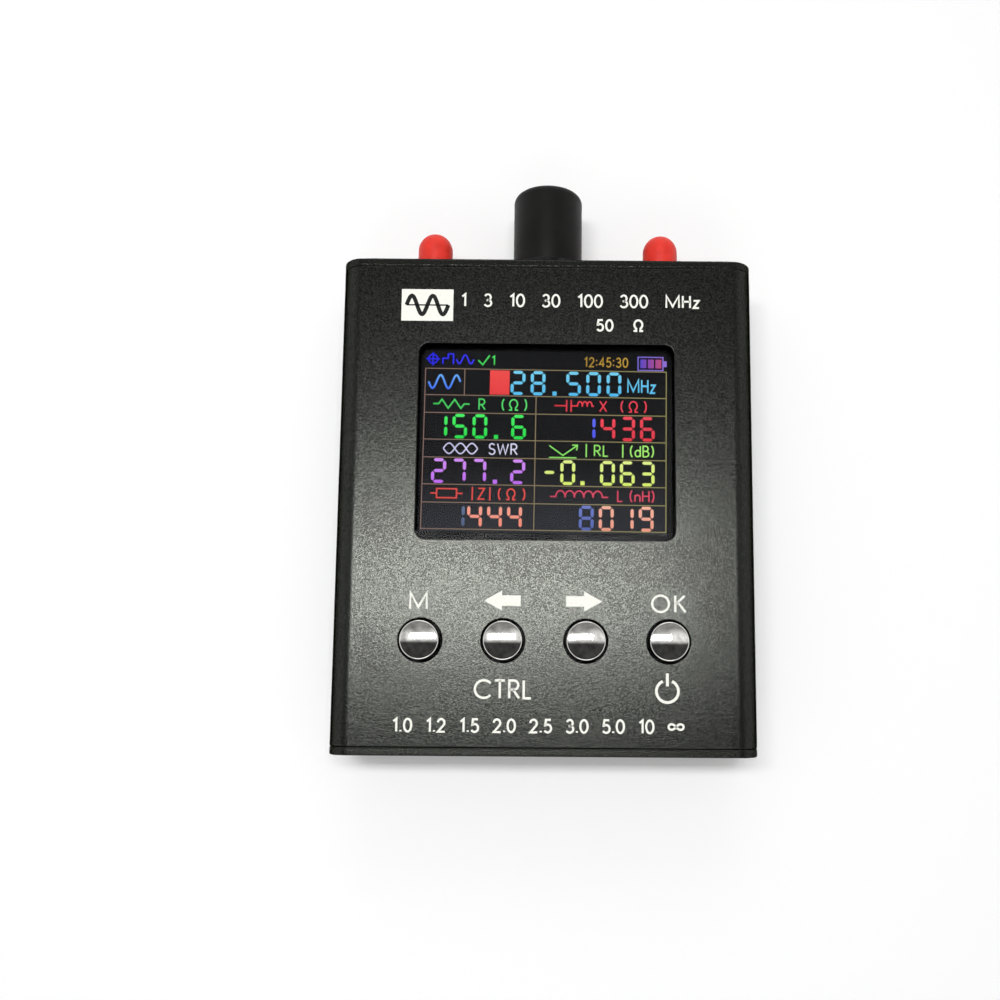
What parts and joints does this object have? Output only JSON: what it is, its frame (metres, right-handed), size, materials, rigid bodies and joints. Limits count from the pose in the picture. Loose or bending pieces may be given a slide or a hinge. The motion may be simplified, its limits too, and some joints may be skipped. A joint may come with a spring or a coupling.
{
  "type": "antenna analyzer",
  "caption": "Hand-held antenna analyzer: flat aluminium case with a recessed colour screen, a row of chrome push buttons and capped coaxial jacks on one end.",
  "frame": {"origin": "middle of the case's flat rear face", "axes": "+Z out of the screen, +Y along the case towards the coaxial jacks, +X to the right as the screen is read"},
  "size_m": [0.098, 0.139, 0.0295],
  "materials": {
    "shell_anodised": "fine-blasted black anodised",
    "plate_anodised": "satin black anodised",
    "black_steel": "black oxide",
    "clear_acrylic": "clear polished",
    "black_tape": "matt black",
    "screen_glass": "dark glass, lit figures",
    "white_plastic": "moulded white",
    "black_plastic": "moulded black",
    "ribbon_film": "amber polyimide film",
    "circuit_board": "green solder mask",
    "chip_package": "moulded epoxy",
    "tinned_steel": "bright tinned",
    "battery_foil": "soft laminated foil",
    "adhesive_pad": "white foam tape",
    "lead_insulation": "red silicone",
    "led_lens": "clear moulded epoxy",
    "button_chrome": "polished chrome plate",
    "nickel_brass": "bright nickel plate",
    "gold_brass": "gold plate",
    "ptfe": "turned white PTFE",
    "black_vinyl": "satin black vinyl",
    "red_vinyl": "satin red vinyl"
  },
  "bodies": {
    "case": {"front_shell": "shell_anodised", "rear_shell": "shell_anodised", "connector_plate": "plate_anodised", "bottom_plate": "plate_anodised", "connector_plate_screws": "black_steel", "bottom_plate_screws": "black_steel", "display_window": "clear_acrylic", "window_tape": "black_tape", "lcd_glass": "screen_glass", "lcd_backlight": "white_plastic", "lcd_frame": "black_plastic", "lcd_ribbon": "ribbon_film", "lcd_socket": "white_plastic", "main_board": "circuit_board", "processor_chip": "chip_package", "synthesizer_chip": "chip_package", "crystal_can": "tinned_steel", "shield_can": "tinned_steel", "battery_pack": "battery_foil", "battery_pad": "adhesive_pad", "battery_leads": "lead_insulation", "battery_plug": "white_plastic", "usb_socket": "tinned_steel", "usb_tongue": "black_plastic", "charge_led": "led_lens", "menu_switch": "black_plastic", "left_switch": "black_plastic", "right_switch": "black_plastic", "ok_switch": "black_plastic", "n_jack": "nickel_brass", "n_washer": "black_steel", "n_nut": "black_steel", "n_insulator": "ptfe", "n_contact": "gold_brass", "left_sma_jack": "gold_brass", "left_sma_washer": "gold_brass", "left_sma_nut": "gold_brass", "left_sma_insulator": "ptfe", "left_sma_contact": "gold_brass", "right_sma_jack": "gold_brass", "right_sma_washer": "gold_brass", "right_sma_nut": "gold_brass", "right_sma_insulator": "ptfe", "right_sma_contact": "gold_brass"},
    "menu_key": {"menu_button": "button_chrome", "menu_stem": "black_plastic"},
    "left_key": {"left_button": "button_chrome", "left_stem": "black_plastic"},
    "right_key": {"right_button": "button_chrome", "right_stem": "black_plastic"},
    "ok_key": {"ok_button": "button_chrome", "ok_stem": "black_plastic"},
    "n_cap": {"n_dust_cap": "black_vinyl"},
    "left_cap": {"left_sma_cap": "red_vinyl"},
    "right_cap": {"right_sma_cap": "red_vinyl"}
  },
  "joints": [
    {"name": "menu_press", "type": "slide", "parent": "case", "child": "menu_key", "axis": [0, 0, -1], "range_m": [0, 0.0003], "stiffness_N_per_m": 4000, "springref_m": -0.0001},
    {"name": "left_press", "type": "slide", "parent": "case", "child": "left_key", "axis": [0, 0, -1], "range_m": [0, 0.0003], "stiffness_N_per_m": 4000, "springref_m": -0.0001},
    {"name": "right_press", "type": "slide", "parent": "case", "child": "right_key", "axis": [0, 0, -1], "range_m": [0, 0.0003], "stiffness_N_per_m": 4000, "springref_m": -0.0001},
    {"name": "ok_press", "type": "slide", "parent": "case", "child": "ok_key", "axis": [0, 0, -1], "range_m": [0, 0.0003], "stiffness_N_per_m": 4000, "springref_m": -0.0001},
    {"name": "n_cap_pull", "type": "slide", "parent": "case", "child": "n_cap", "axis": [0, 1, 0], "range_m": [0, 0.022]},
    {"name": "left_cap_pull", "type": "slide", "parent": "case", "child": "left_cap", "axis": [0, 1, 0], "range_m": [0, 0.011]},
    {"name": "right_cap_pull", "type": "slide", "parent": "case", "child": "right_cap", "axis": [0, 1, 0], "range_m": [0, 0.011]}
  ]
}
